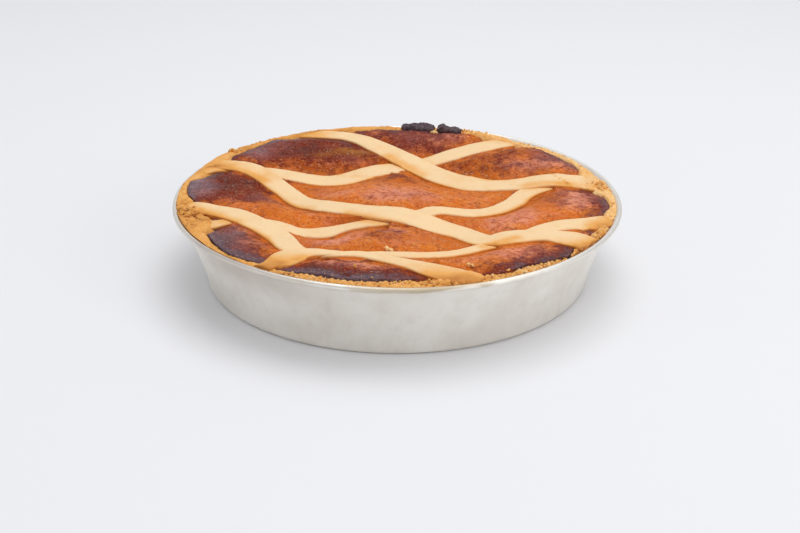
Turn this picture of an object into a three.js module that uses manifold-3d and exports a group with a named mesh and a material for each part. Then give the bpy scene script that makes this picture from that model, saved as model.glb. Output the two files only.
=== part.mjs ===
// Pastiera, a lattice-topped wheat and ricotta tart, in the plain aluminium tin it was baked in.
// Millimetres, +Z up, origin at the middle of the tin's flat base.

import * as THREE from 'three';
import { mergeVertices } from 'three/addons/utils/BufferGeometryUtils.js';
import Module from 'manifold-3d';

const wasm = await Module();
wasm.setup();

// Tin
const tinHeight = 43.4;
const rimRadius = 120;          // outside of the rolled bead
const baseRadius = 103.2;       // outside of the flat base
const wallCurve = 1.35;         // above 1, the wall flares out more and more towards the rim
const beadRadius = 1.4;
const beadTuck = 0.2;           // the wall's inner face at the rim stands this far in from the bead
const wallThickness = 0.8;
const baseCornerRadius = 2.5;
const wallSteps = [0.35, 0.6, 0.8, 0.9];   // heights, as shares of the tin's, where the wall turns
const tinSides = 56;

// Tart
const fit = 0.3;                // clearance between pieces that touch
const caseSides = 52;
const caseWall = 4.2;           // pastry thickness down the side
const crustWidth = 4.7;         // and at the top
const caseFloor = 4;            // pastry thickness on the bottom
const caseFillet = 1;           // how much thicker the pastry is in the bottom corner
const wallWander = 0.8;         // how much the crust's inner edge strays
const trimInset = 1.9;          // strip ends stop this far inside the crust's outer face
const trimWander = 0.5;
const fillingRings = 9;
const spread = 1.3;             // above 1, the filling's rings crowd towards the crust
const surfaceLevel = 42.1;      // general height of the top
const surfaceLean = -0.010;     // it stands a little higher on the -X side
const crustLean = 1.8;          // the crust stands this much proud, or low, of its mean height
const crustLeanAngle = THREE.MathUtils.degToRad(150);
const crustProud = 0.3;         // mean height of the crust above the rim
const crustWander = 0.6;
const crestRound = 0.7;         // how far below its top the crust's outer face ends
const crestRise = 0.5;          // how far its middle stands above its top edge
const shoulderInset = 1.1;
const crestInset = 2.8;
const innerLipDrop = 1.2;
const wallSeed = 1.7;           // where each wave starts
const trimSeed = 2.9;
const crustSeed = 0.6;
const lipDepth = 4.6;           // the crust's inner face is upright down to here
const taperDepth = 13;          // and has come in to the side wall's thickness here

// Lattice
const stripThickness = 3.2;
const stripSteps = 18;
const stripSides = 8;
const sideSquareness = 0.35;    // powers that turn the strip's round section into a flat bar
const topSquareness = 0.8;
const overLift = 2.2;           // top of an upper strip above the filling's general level
const underLift = 1.4;          // the same for a lower strip
const crossingRise = 1.0;       // how much an upper strip arches over a lower one
const crossingSink = 1.8;       // how much the lower one is pressed down there
const crossingReach = 15;
const crossingGap = 8;          // strips whose middles come nearer than this do cross

// Filling
const bulgeHeight = 2.6;        // how far a pane puffs up between the strips
const bulgeReach = 8;
const valleyRise = 0.4;         // how far the filling stands above its level beside a strip
const edgeDrop = 0.8;           // how much lower still it ends against the crust
const edgeRoll = 3.5;           // width over which it rolls down there

// Places where the filling sank as it cooled: depth, x, y, reach. The last is the risen middle.
const sunkenPlaces = [
  [6, -34, 40, 25],
  [6.5, 50, 14, 32],
  [6, -38, -46, 22],
  [5, 34, -44, 28],
  [7, 20, 54, 34],
  [5, -54, 4, 24],
  [-2.5, 12, -14, 20],
];

// Each strip runs through a few hand-laid places: x, y, width there.
const overStrips = [
  [[-62, 101, 12], [-30, 97, 13], [-8, 79, 16], [15, 58, 19], [38, 38, 21], [60, 30, 16],
    [86, 27, 19], [109, 20, 20]],
  [[-108, 45, 14], [-84, 37, 14], [-61, 13, 13], [-46, -7, 15], [-16, -22, 14], [14, -33, 17],
    [32, -42, 15], [45, -56, 15], [74, -54, 12], [97, -62, 22]],
  [[-112, -19, 13], [-84, -34, 14], [-62, -53, 14], [-51, -75, 12], [-37, -82, 9], [-16, -86, 8],
    [6, -95, 12], [29, -106, 18]],
];
const underStrips = [
  [[-111, 25, 11], [-96, 41, 11], [-68, 37, 14], [-40, 38, 16], [-16, 50, 16], [10, 66, 14],
    [40, 81, 15], [68, 92, 14]],
  [[-106, -35, 11], [-72, -37, 11], [-52, -43, 11], [-38, -40, 14], [-8, -30, 11], [24, -18, 10],
    [48, -13, 11], [62, 1, 12], [75, 19, 12], [107, 28, 12]],
  [[-66, -94, 13], [-57, -88, 17], [-46, -81, 12], [-30, -81, 7], [-10, -82, 7], [22, -78, 7],
    [44, -64, 8], [60, -52, 11], [84, -39, 12], [107, -34, 16]],
];

// Charred drips of filling on the back rim: x, length along the rim, depth across it, height
const dripRadius = 114.3;
const dripDetail = 1;
const dripSeat = 0.2;           // how far up its lump each drip is cut flat
const dripCrown = 1.4;
const charredDrips = [
  [13, 20, 8.5, 3.8],
  [32.5, 15, 8, 3.2],
];

// A wave round the tart, which keeps its outline and its crust from being a true circle
function wander(angle, seed) {
  return Math.sin(2 * angle + seed) * 0.5 + Math.sin(5 * angle + 2.3 * seed) * 0.3
    + Math.sin(9 * angle + 4.1 * seed) * 0.2;
}

// General level of the top surface
function levelAt(x, y) {
  let z = surfaceLevel + surfaceLean * x;
  for (const [depth, cx, cy, reach] of sunkenPlaces) {
    z -= depth * Math.exp(-((x - cx) ** 2 + (y - cy) ** 2) / reach ** 2);
  }
  return z;
}

function tinInnerRadius(z) {
  const bottom = baseRadius - wallThickness;
  const top = rimRadius - 2 * beadRadius - beadTuck;
  return bottom + (top - bottom) * Math.min(z / tinHeight, 1) ** wallCurve;
}

function pastryRadius(z) {
  return tinInnerRadius(z) - fit;
}

function fillingRadius(angle) {
  return pastryRadius(tinHeight) - crustWidth + wallWander * wander(angle, wallSeed);
}

// Inner face of the pastry where the side wall has its own thickness
function taperRadius() {
  return pastryRadius(tinHeight - taperDepth) - caseWall;
}

function trimRadius(angle) {
  return pastryRadius(tinHeight) - trimInset + trimWander * wander(angle, trimSeed);
}

function crustTop(angle) {
  const lean = crustLean * Math.cos(angle - crustLeanAngle);
  return tinHeight + crustProud + lean + crustWander * wander(angle, crustSeed);
}

// A closed surface from rings of points that all have the same count, capped at both ends
function closedLoft(rings, capCentres) {
  const positions = rings.flat().concat(capCentres).flat();
  const count = rings[0].length;
  const index = [];
  for (let i = 0; i < rings.length - 1; i++) {
    for (let j = 0; j < count; j++) {
      const k = (j + 1) % count;
      const [a, b] = [i * count + j, i * count + k];
      const [c, d] = [a + count, b + count];
      index.push(a, b, d, a, d, c);
    }
  }
  const first = rings.length * count;
  const last = (rings.length - 1) * count;
  for (let j = 0; j < count; j++) {
    const k = (j + 1) % count;
    index.push(first, k, j);
    index.push(first + 1, last + j, last + k);
  }
  return makeGeometry(positions, index);
}

function makeGeometry(positions, index) {
  const geometry = new THREE.BufferGeometry();
  geometry.setAttribute('position', new THREE.Float32BufferAttribute(positions, 3));
  geometry.setIndex(index);
  return geometry;
}

function toSolid(geometry) {
  const clean = geometry.clone();
  clean.deleteAttribute('normal');
  clean.deleteAttribute('uv');
  const merged = mergeVertices(clean, 1e-4);
  return new wasm.Manifold(new wasm.Mesh({
    numProp: 3,
    vertProperties: new Float32Array(merged.attributes.position.array),
    triVerts: new Uint32Array(merged.index.array),
  }));
}

function toGeometry(solid) {
  const mesh = solid.getMesh();
  return makeGeometry(mesh.vertProperties, Array.from(mesh.triVerts));
}

function ringAt(radiusOf, heightOf) {
  const ring = [];
  for (let j = 0; j < caseSides; j++) {
    const angle = (j / caseSides) * 2 * Math.PI;
    const radius = radiusOf(angle);
    ring.push([radius * Math.cos(angle), radius * Math.sin(angle), heightOf(angle)]);
  }
  return ring;
}

// Pressed aluminium tin with a flared wall and a bead rolled outwards
function makeTin() {
  const beadX = rimRadius - beadRadius;
  const beadZ = tinHeight - beadRadius;
  const underBead = tinHeight - 2 * beadRadius;
  const outerRadius = (z) => tinInnerRadius(z) + wallThickness;
  const outline = new THREE.Path();
  outline.moveTo(0, 0);
  outline.lineTo(baseRadius - baseCornerRadius, 0);
  outline.quadraticCurveTo(baseRadius, 0, outerRadius(baseCornerRadius), baseCornerRadius);
  for (const step of wallSteps) {
    outline.lineTo(outerRadius(step * tinHeight), step * tinHeight);
  }
  outline.lineTo(beadX - beadRadius * 0.8, beadZ - beadRadius * 0.6);
  outline.absarc(beadX, beadZ, beadRadius, -2.4, 0.75 * Math.PI, false);
  outline.lineTo(tinInnerRadius(underBead), underBead);
  for (const step of [...wallSteps].reverse()) {
    outline.lineTo(tinInnerRadius(step * tinHeight), step * tinHeight);
  }
  outline.lineTo(tinInnerRadius(baseCornerRadius), baseCornerRadius);
  outline.lineTo(baseRadius - baseCornerRadius, wallThickness);
  outline.lineTo(0, wallThickness);
  const profile = outline.getPoints(3);
  profile.push(profile[0].clone());
  return new THREE.LatheGeometry(profile, tinSides).rotateX(Math.PI / 2);
}

// Shortcrust case that lines the tin, with an uneven crest at the top
function makeCase() {
  const floorZ = wallThickness + fit;
  const cornerRadius = pastryRadius(baseCornerRadius);
  const mouthRadius = pastryRadius(tinHeight);
  const rings = [
    ringAt(() => baseRadius - baseCornerRadius - 1, () => floorZ),
    ringAt(() => cornerRadius, () => baseCornerRadius + 0.5),
    ...wallSteps.map((step) => ringAt(() => pastryRadius(step * tinHeight), () => step * tinHeight)),
    ringAt((a) => pastryRadius(crustTop(a) - crestRound), (a) => crustTop(a) - crestRound),
    ringAt(() => mouthRadius - shoulderInset, (a) => crustTop(a) + crestRise / 2),
    ringAt(() => mouthRadius - crestInset, (a) => crustTop(a) + crestRise),
    ringAt((a) => fillingRadius(a) + fit, (a) => crustTop(a) - innerLipDrop),
    ringAt((a) => fillingRadius(a) + fit, () => tinHeight - lipDepth),
    ringAt(() => taperRadius(), () => tinHeight - taperDepth),
    ringAt(() => cornerRadius - caseWall - caseFillet, () => floorZ + caseFloor),
  ];
  return closedLoft(rings, [[0, 0, floorZ], [0, 0, floorZ + caseFloor]]);
}

// A strip is stored as its route plus the crossings where it passes another strip
function layStrip(places, lift, name, over) {
  const curve = new THREE.CatmullRomCurve3(
    places.map(([x, y, width]) => new THREE.Vector3(x, y, width)), false, 'catmullrom');
  const route = curve.getPoints(stripSteps);
  return { name, route, lift, over, crossings: [] };
}

function findCrossings(upper, lower) {
  for (const a of upper) {
    for (const b of lower) {
      let best = null;
      for (const p of a.route) {
        for (const q of b.route) {
          const gap = Math.hypot(p.x - q.x, p.y - q.y);
          if (!best || gap < best.gap) {
            best = { gap, x: (p.x + q.x) / 2, y: (p.y + q.y) / 2 };
          }
        }
      }
      if (best.gap < crossingGap) {
        a.crossings.push(best);
        b.crossings.push(best);
      }
    }
  }
}

function stripTopAt(strip, x, y) {
  let near = 0;
  for (const crossing of strip.crossings) {
    const distance = Math.hypot(x - crossing.x, y - crossing.y);
    near = Math.max(near, Math.exp(-((distance / crossingReach) ** 2)));
  }
  const step = strip.over ? crossingRise : -crossingSink;
  return levelAt(x, y) + strip.lift + step * near;
}

function squared(value, power) {
  return Math.sign(value) * Math.abs(value) ** power;
}

function centreOf(ring) {
  return [0, 1, 2].map((axis) => ring.reduce((sum, p) => sum + p[axis], 0) / ring.length);
}

// Rounded bar swept along the strip's route; grow makes the room it presses into its neighbours
function makeStrip(strip, grow) {
  const { route } = strip;
  const rings = route.map((p, i) => {
    const before = route[Math.max(i - 1, 0)];
    const after = route[Math.min(i + 1, route.length - 1)];
    const length = Math.hypot(after.x - before.x, after.y - before.y);
    const ahead = { x: (after.x - before.x) / length, y: (after.y - before.y) / length };
    let endwise = 0;
    if (i === 0) endwise = -grow;
    if (i === route.length - 1) endwise = grow;
    const x = p.x + ahead.x * endwise;
    const y = p.y + ahead.y * endwise;
    const z = stripTopAt(strip, p.x, p.y) - stripThickness / 2;
    const ring = [];
    for (let j = 0; j < stripSides; j++) {
      const turn = ((j + 0.5) / stripSides) * 2 * Math.PI;
      const across = squared(Math.cos(turn), sideSquareness);
      const up = squared(Math.sin(turn), topSquareness);
      const side = across * (p.z / 2 + grow);
      ring.push([x - ahead.y * side, y + ahead.x * side, z + up * (stripThickness / 2 + grow)]);
    }
    return ring;
  });
  return closedLoft(rings, [centreOf(rings[0]), centreOf(rings[rings.length - 1])]);
}

// Distance from a place to the nearest edge of any strip
function distanceToStrips(strips, x, y) {
  let nearest = Infinity;
  for (const { route } of strips) {
    for (let i = 0; i < route.length - 1; i++) {
      const [p, q] = [route[i], route[i + 1]];
      const [dx, dy] = [q.x - p.x, q.y - p.y];
      const reached = ((x - p.x) * dx + (y - p.y) * dy) / (dx * dx + dy * dy);
      const along = THREE.MathUtils.clamp(reached, 0, 1);
      const gap = Math.hypot(x - p.x - along * dx, y - p.y - along * dy);
      nearest = Math.min(nearest, gap - THREE.MathUtils.lerp(p.z, q.z, along) / 2);
    }
  }
  return Math.max(nearest, 0);
}

function fillingTopAt(strips, x, y) {
  const toStrip = distanceToStrips(strips, x, y);
  const toCrust = Math.max(fillingRadius(Math.atan2(y, x)) - Math.hypot(x, y), 0);
  const puff = 1 - Math.exp(-((toStrip / bulgeReach) ** 2));
  const roll = 1 - Math.exp(-((toCrust / edgeRoll) ** 2));
  return levelAt(x, y) + valleyRise - edgeDrop + (bulgeHeight * puff + edgeDrop) * roll;
}

// Baked filling: flat below, puffed into panes between the strips on top
function makeFilling(strips) {
  const floorZ = wallThickness + caseFloor + 2 * fit;
  const rings = [
    ringAt(() => pastryRadius(baseCornerRadius) - caseWall - caseFillet - 2 * fit, () => floorZ),
    ringAt(() => taperRadius() - fit, () => tinHeight - taperDepth),
    ringAt((a) => fillingRadius(a), () => tinHeight - lipDepth),
  ];
  for (let i = 0; i < fillingRings; i++) {
    const share = Math.sqrt(1 - (i / fillingRings) ** spread);
    const flat = ringAt((a) => fillingRadius(a) * share, () => 0);
    rings.push(flat.map(([x, y]) => [x, y, fillingTopAt(strips, x, y)]));
  }
  return closedLoft(rings, [[0, 0, floorZ], [0, 0, fillingTopAt(strips, 0, 0)]]);
}

// Charred lump with a flat underside, lying over the crust and the bead at the back
function makeDrip([x, length, depth, height], grow) {
  const lump = new THREE.IcosahedronGeometry(0.5, dripDetail);
  lump.deleteAttribute('normal');
  lump.deleteAttribute('uv');
  const geometry = mergeVertices(lump, 1e-4);
  const position = geometry.attributes.position;
  const along = Math.acos(x / dripRadius);
  for (let i = 0; i < position.count; i++) {
    const v = new THREE.Vector3().fromBufferAttribute(position, i);
    const rough = 1 + 0.12 * Math.sin(11 * v.x + x) + 0.1 * Math.sin(13 * v.y + 9 * v.z);
    const angle = along - (v.x * (rough * length + 2 * grow)) / dripRadius;
    const out = dripRadius + v.y * (rough * depth + 2 * grow);
    const up = Math.max(v.z * rough + dripSeat, 0) * (height * dripCrown + 2 * grow);
    position.setXYZ(i, out * Math.cos(angle), out * Math.sin(angle), tinHeight + fit - grow + up);
  }
  return geometry;
}

function named(name, geometry, colour, roughness, metalness) {
  const material = new THREE.MeshStandardMaterial({ color: colour, roughness, metalness });
  const mesh = new THREE.Mesh(geometry, material);
  mesh.name = name;
  return mesh;
}

function cutBy(solid, rooms) {
  return rooms.reduce((rest, room) => rest.subtract(room), solid);
}

const upper = overStrips.map((places, i) => layStrip(places, overLift, `strip_over_${i + 1}`, true));
const lower = underStrips.map((places, i) => layStrip(places, underLift, `strip_under_${i + 1}`, false));
const strips = [...upper, ...lower];
findCrossings(upper, lower);

// The strips end where the pastry does, trimmed to its outline
const trimBottom = tinHeight / 2;
const trimTop = tinHeight * 1.5;
const outline = toSolid(closedLoft(
  [ringAt(trimRadius, () => trimBottom), ringAt(trimRadius, () => trimTop)],
  [[0, 0, trimBottom], [0, 0, trimTop]],
));
const trimmedStrip = (strip) => toSolid(makeStrip(strip, 0)).intersect(outline);

const roomForUpper = upper.map((strip) => toSolid(makeStrip(strip, fit)));
const roomForLower = lower.map((strip) => toSolid(makeStrip(strip, fit)));
const roomForDrips = charredDrips.map((drip) => toSolid(makeDrip(drip, fit)));
const allRoom = [...roomForUpper, ...roomForLower, ...roomForDrips];

const pastryCase = cutBy(toSolid(makeCase()), allRoom);
const filling = cutBy(toSolid(makeFilling(strips)), allRoom);

const pastiera = new THREE.Group();
pastiera.add(named('tin', makeTin(), 0xc9c4ba, 0.38, 1));
pastiera.add(named('pastry_case', toGeometry(pastryCase), 0xe1a55a, 0.85, 0));
pastiera.add(named('filling', toGeometry(filling), 0xb85f2f, 0.45, 0));
for (const strip of upper) {
  pastiera.add(named(strip.name, toGeometry(trimmedStrip(strip)), 0xf0d3a2, 0.8, 0));
}
for (const strip of lower) {
  const pressed = cutBy(trimmedStrip(strip), roomForUpper);
  pastiera.add(named(strip.name, toGeometry(pressed), 0xf0d3a2, 0.8, 0));
}
charredDrips.forEach((drip, i) => {
  pastiera.add(named(`charred_drip_${i + 1}`, makeDrip(drip, 0), 0x3a2424, 0.6, 0));
});

export default pastiera;
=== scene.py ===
import itertools
import math

import bpy
import numpy as np
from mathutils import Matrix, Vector


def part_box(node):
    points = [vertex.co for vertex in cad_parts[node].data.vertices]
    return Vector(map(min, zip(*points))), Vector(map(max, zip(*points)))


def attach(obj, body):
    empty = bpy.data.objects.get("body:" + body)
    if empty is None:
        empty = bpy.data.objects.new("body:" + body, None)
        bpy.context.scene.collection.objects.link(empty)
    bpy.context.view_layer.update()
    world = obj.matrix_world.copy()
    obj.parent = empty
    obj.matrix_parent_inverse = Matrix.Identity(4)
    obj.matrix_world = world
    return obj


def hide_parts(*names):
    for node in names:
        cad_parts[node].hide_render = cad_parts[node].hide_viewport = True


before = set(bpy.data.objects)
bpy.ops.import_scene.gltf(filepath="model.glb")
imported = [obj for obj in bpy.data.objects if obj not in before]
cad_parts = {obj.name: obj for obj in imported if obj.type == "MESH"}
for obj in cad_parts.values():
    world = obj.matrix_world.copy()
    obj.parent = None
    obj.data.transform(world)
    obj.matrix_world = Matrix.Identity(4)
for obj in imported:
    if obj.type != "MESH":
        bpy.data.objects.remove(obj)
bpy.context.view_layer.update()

# Shapes are worked out in millimetres and scaled when a mesh is made.
mm = 0.001
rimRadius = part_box("tin")[1].x / mm
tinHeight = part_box("tin")[1].z / mm


# The shape of the whole tart.

tart = {
    "baseRadius": 103.2,
    "wall": 0.8,
    "wallCurve": 1.35,       # above 1, the wall flares out more and more towards the rim
    "beadRadius": 1.4,
    "fit": 0.3,
    "surfaceLevel": 42.1,
    "surfaceLean": -0.010,   # the top stands a little higher on the -X side
    # where the filling sank as it cooled: depth, x, y, reach; the last is the risen middle
    "sunkenPlaces": [
        (6, -34, 40, 25), (6.5, 50, 14, 32), (6, -38, -46, 22), (5, 34, -44, 28), (7, 20, 54, 34),
        (5, -54, 4, 24), (-2.5, 12, -14, 20),
    ],
    # the thin rim is bent down a little at the front and right: degrees from +X and the drop there
    "bentRim": {
        -115: 0, -100: 0.3, -90: 0.7, -75: 1.0, -45: 1.1, 0: 1.1, 15: 1.0, 30: 0.8, 45: 0.3, 60: 0, 150: 0,
        215: -0.3, 232: -0.2,
    },
    "bentReach": (80, 112),
}


def levelAt(x, y):
    near = ease(np.hypot(x, y), *tart["bentReach"])
    z = tart["surfaceLevel"] + tart["surfaceLean"] * x - near * roundTable(np.arctan2(y, x), tart["bentRim"])
    for depth, cx, cy, spread in tart["sunkenPlaces"]:
        z = z - depth * fadeFrom(x, y, cx, cy, spread)
    return z


def tinInnerRadius(z):
    bottom = tart["baseRadius"] - tart["wall"]
    top = rimRadius - 2 * tart["beadRadius"] - 0.2
    return bottom + (top - bottom) * min(z / tinHeight, 1) ** tart["wallCurve"]


def pastryRadius(z):
    return tinInnerRadius(z) - tart["fit"]


def wander(angle, seed):
    return (np.sin(2 * angle + seed) * 0.5 + np.sin(5 * angle + 2.3 * seed) * 0.3
            + np.sin(9 * angle + 4.1 * seed) * 0.2)


# Noise and small sums.

def hashed(cell, seed):   # a steady pseudo-random number from 0 to 1 for each whole-number cell
    number = (cell[:, 0] * 73856093) ^ (cell[:, 1] * 19349663) ^ (cell[:, 2] * 83492791) ^ (seed * 15485863)
    number = ((number ^ (number >> 13)) * 1274126177) & 0x7FFFFFFF
    number = ((number ^ (number >> 15)) * 2246822519) & 0x7FFFFFFF
    return (number % 20011) / 20010.0


def lumps(points, size, seed):   # smooth noise from -1 to 1, its lumps about size across
    place = points / size
    cell = np.floor(place).astype(np.int64)
    t = place - cell
    t = t * t * t * (t * (6 * t - 15) + 10)
    total = np.zeros(len(points))
    for corner in itertools.product((0, 1), repeat=3):
        share = np.where(np.array(corner) == 1, t, 1 - t).prod(axis=1)
        total += (hashed(cell + np.array(corner), seed) * 2 - 1) * share
    return total


def layered(points, size, seed, layers):
    total = np.zeros(len(points))
    for i in range(layers):
        total += lumps(points, size / 2 ** i, seed + i) / 2 ** i
    return total


def uneven(points, waves, shift=0):   # each wave: height, size, seed, layers
    return sum(height * layered(points, size, seed + shift, layers) for height, size, seed, layers in waves)


def pebbles(points, size, seed):   # packed rounded grains: 1 at a grain's middle, 0 between grains
    place = points / size
    cell = np.floor(place).astype(np.int64)
    nearest = np.full(len(points), 9.0)
    for corner in itertools.product((-1, 0, 1), repeat=3):
        spot = cell + np.array(corner)
        middle = spot + np.stack([hashed(spot, seed + k) for k in range(3)], axis=1)
        nearest = np.minimum(nearest, ((place - middle) ** 2).sum(axis=1))
    return np.clip(1 - nearest * 1.6, 0, 1)


def flat(x, y, z=0.0):
    return np.stack([x, y, np.zeros_like(x) + z], axis=1)


def ease(value, low, high):
    t = np.clip((value - low) / (high - low), 0, 1)
    return t * t * (3 - 2 * t)


def fade(distance, reach):   # 1 at no distance, falling off smoothly
    return np.exp(-(distance / reach) ** 2)


def fadeFrom(x, y, cx, cy, reach):
    return fade(np.hypot(x - cx, y - cy), reach)


def roundTable(angle, table):   # a value listed round the tart, for degrees from +X
    degrees = np.degrees(angle) % 360
    turns, values = np.array(sorted((a % 360, v) for a, v in table.items())).T
    turns = np.concatenate([turns - 360, turns, turns + 360])
    return np.interp(degrees, turns, np.tile(values, 3))


def ragged(x, y, seed, *waves):   # shifts places, so that an outline laid on them looks torn
    place = flat(x, y)
    for k, (amount, size) in enumerate(waves):
        x = x + amount * lumps(place, size, seed + k)
        y = y + amount * lumps(place, size, seed + len(waves) + k)
    return x, y


def patches(x, y, spots, seed):   # soft uneven ovals: strength, x, y, length, width and, if any, turn
    x, y = ragged(x, y, seed, (3.0, 11), (1.3, 3.5))
    left = np.ones_like(x)
    for strength, cx, cy, length, width, *turned in spots:
        turn = math.radians(sum(turned))
        u = (x - cx) * math.cos(turn) + (y - cy) * math.sin(turn)
        v = (y - cy) * math.cos(turn) - (x - cx) * math.sin(turn)
        left = left * (1 - strength * fade(np.hypot(u / length, v / width), 1))
    return 1 - left


def toPath(x, y, path):
    nearest = np.full(len(x), 1e9)
    for (ax, ay), (bx, by) in zip(path, path[1:]):
        t = np.clip(((x - ax) * (bx - ax) + (y - ay) * (by - ay)) / ((bx - ax) ** 2 + (by - ay) ** 2), 0, 1)
        nearest = np.minimum(nearest, np.hypot(x - ax - t * (bx - ax), y - ay - t * (by - ay)))
    return nearest


# Meshes.

def addObject(name, data):
    thing = bpy.data.objects.new(name, data)
    bpy.context.scene.collection.objects.link(thing)
    return thing


def newPiece(name, mesh, material, slot, *nodes):
    piece = addObject(name, mesh)
    mesh.materials.clear()
    mesh.materials.append(material)
    mesh.shade_smooth()
    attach(piece, "root")
    if nodes:
        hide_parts(*nodes)


def plainMesh(name, points, faces):
    mesh = bpy.data.meshes.new(name)
    mesh.from_pydata([tuple(p) for p in np.asarray(points) * mm], [], faces)
    mesh.validate()
    return mesh


def meshPoints(mesh):
    spots = np.zeros(len(mesh.vertices) * 3, np.float32)
    mesh.vertices.foreach_get("co", spots)
    return spots.reshape(-1, 3).astype(float) / mm


def setPoints(mesh, points):
    mesh.vertices.foreach_set("co", (points * mm).astype(np.float32).ravel())
    mesh.update()


def polar(points):
    return np.arctan2(points[:, 1], points[:, 0]), np.hypot(points[:, 0], points[:, 1])


def layerValues(mesh, name):
    values = np.zeros(len(mesh.vertices), np.float32)
    mesh.attributes[name].data.foreach_get("value", values)
    return values.astype(float)


def pullIn(points, limit):   # no point stays farther from the middle than its limit
    pulled = np.minimum(1, limit / np.maximum(polar(points)[1], 1))
    points[:, :2] *= pulled[:, None]


def paint(mesh, name, values):
    layer = mesh.attributes.get(name) or mesh.attributes.new(name, "FLOAT", "POINT")
    layer.data.foreach_set("value", np.clip(values, 0, 1).astype(np.float32))


def loftFaces(rings, count, capFirst, capLast):
    faces = []
    for i in range(rings - 1):
        for j in range(count):
            k = (j + 1) % count
            faces.append((i * count + j, i * count + k, (i + 1) * count + k, (i + 1) * count + j))
    last = (rings - 1) * count
    for j in range(count):
        k = (j + 1) % count
        faces.append((capFirst, k, j))
        faces.append((capLast, last + j, last + k))
    return faces


# Node helpers, which all add to the tree being built.

work = {"tree": None}


def setInputs(node, values):
    for key, value in values.items():
        if isinstance(value, bpy.types.NodeSocket):
            work["tree"].links.new(value, node.inputs[key])
        else:
            node.inputs[key].default_value = value


def addNode(kind, values=None, **settings):
    node = work["tree"].nodes.new(kind)
    for name, value in settings.items():
        setattr(node, name, value)
    setInputs(node, values or {})
    return node


def sums(operation, *values):
    return addNode("ShaderNodeMath", dict(enumerate(values)), operation=operation).outputs[0]


def plus(first, second):
    return sums("ADD", first, second)


def times(first, second):
    return sums("MULTIPLY", first, second)


def vectors(operation, *values):
    return addNode("ShaderNodeVectorMath", dict(enumerate(values)), operation=operation).outputs["Vector"]


def scaled(vector, size):
    return addNode("ShaderNodeVectorMath", {0: vector, "Scale": size}, operation="SCALE").outputs[0]


def split(vector):
    return addNode("ShaderNodeSeparateXYZ", {0: vector}).outputs


def xyz(*values):
    return addNode("ShaderNodeCombineXYZ", dict(enumerate(values))).outputs[0]


def placeOf():
    return addNode("GeometryNodeInputPosition").outputs[0]


def shifted(geometry, kind, vector):   # kind is Position or Offset
    return addNode("GeometryNodeSetPosition", {"Geometry": geometry, kind: vector}).outputs[0]


def startTree(name, values):   # the tree gets an input for each value, under its name
    tree = work["tree"] = bpy.data.node_groups.new(name, "GeometryNodeTree")
    sockets = tree.interface
    sockets.new_socket(name="Geometry", in_out="INPUT", socket_type="NodeSocketGeometry")
    for label, value in values.items():
        kind = {int: "Int", float: "Float"}.get(type(value), "Material")
        sockets.new_socket(name=label, in_out="INPUT", socket_type="NodeSocket" + kind)
    sockets.new_socket(name="Geometry", in_out="OUTPUT", socket_type="NodeSocketGeometry")
    return addNode("NodeGroupInput").outputs


def endTree(geometry, material):
    whole = addNode("GeometryNodeRealizeInstances", {"Geometry": geometry}).outputs[0]
    dressed = addNode("GeometryNodeSetMaterial", {"Geometry": whole, "Material": material}).outputs[0]
    addNode("NodeGroupOutput", {0: dressed})
    return work["tree"]


def runTree(tree, source, values):   # the tree's result on source, as a plain mesh
    modifier = source.modifiers.new("make", "NODES")
    modifier.node_group = tree
    for item in tree.interface.items_tree:
        if item.in_out == "INPUT" and item.name in values:
            modifier[item.identifier] = values[item.name]
    bpy.context.view_layer.update()
    mesh = bpy.data.meshes.new_from_object(source.evaluated_get(bpy.context.evaluated_depsgraph_get()))
    source.modifiers.remove(modifier)
    bpy.data.objects.remove(source)
    return mesh


def routeCurve(name, points, radii=None):
    curve = bpy.data.curves.new(name, "CURVE")
    curve.dimensions = "3D"
    spline = curve.splines.new("POLY")
    spline.points.add(len(points) - 1)
    for i, point in enumerate(points):
        spline.points[i].co = (*(np.asarray(point) * mm), 1)
        spline.points[i].radius = mm * (1 if radii is None else radii[i])
    return addObject(name, curve)


# Materials.

def rgb(red, green, blue):
    parts = [v / 255 for v in (red, green, blue)]
    return tuple(v / 12.92 if v < 0.04045 else ((v + 0.055) / 1.055) ** 2.4 for v in parts) + (1,)


def newMaterial(name):
    material = bpy.data.materials.new(name)
    material.use_nodes = True
    work["tree"] = material.node_tree
    work["tree"].nodes.clear()
    shader = addNode("ShaderNodeBsdfPrincipled")
    addNode("ShaderNodeOutputMaterial", {"Surface": shader.outputs[0]})
    return material, shader


def grain(size, detail=4, roughness=0.6, stretch=(1, 1, 1)):
    place = addNode("ShaderNodeTexCoord").outputs["Object"]
    place = addNode("ShaderNodeMapping", {"Vector": place, "Scale": stretch}).outputs[0]
    return addNode("ShaderNodeTexNoise", {
        "Vector": place, "Scale": 1 / (size * mm), "Detail": detail, "Roughness": roughness}).outputs[0]


def speckle(size):
    place = addNode("ShaderNodeTexCoord").outputs["Object"]
    return addNode("ShaderNodeTexVoronoi", {"Vector": place, "Scale": 1 / (size * mm)}).outputs["Distance"]


def mixed(share, first, second):
    node = addNode("ShaderNodeMix", {0: share, 6: first, 7: second}, data_type="RGBA")
    return node.outputs[2]


def painted(colour, *coats):   # coats laid one over the other: how much shows, its colour
    for share, coat in coats:
        colour = mixed(share, colour, coat)
    return colour


def mapped(value, low, high, toLow=0.0, toHigh=1.0):
    return addNode("ShaderNodeMapRange", {
        "Value": value, "From Min": low, "From Max": high, "To Min": toLow, "To Max": toHigh}).outputs[0]


def layerOf(name):
    return addNode("ShaderNodeAttribute", attribute_name=name).outputs["Fac"]


def bumps(*heights):   # each: a height, its depth in millimetres
    normal = None
    for height, depth in heights:
        values = {"Height": height, "Distance": depth * mm, "Strength": 1.0}
        if normal is not None:
            values["Normal"] = normal
        normal = addNode("ShaderNodeBump", values).outputs[0]
    return normal


# The tin.

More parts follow.
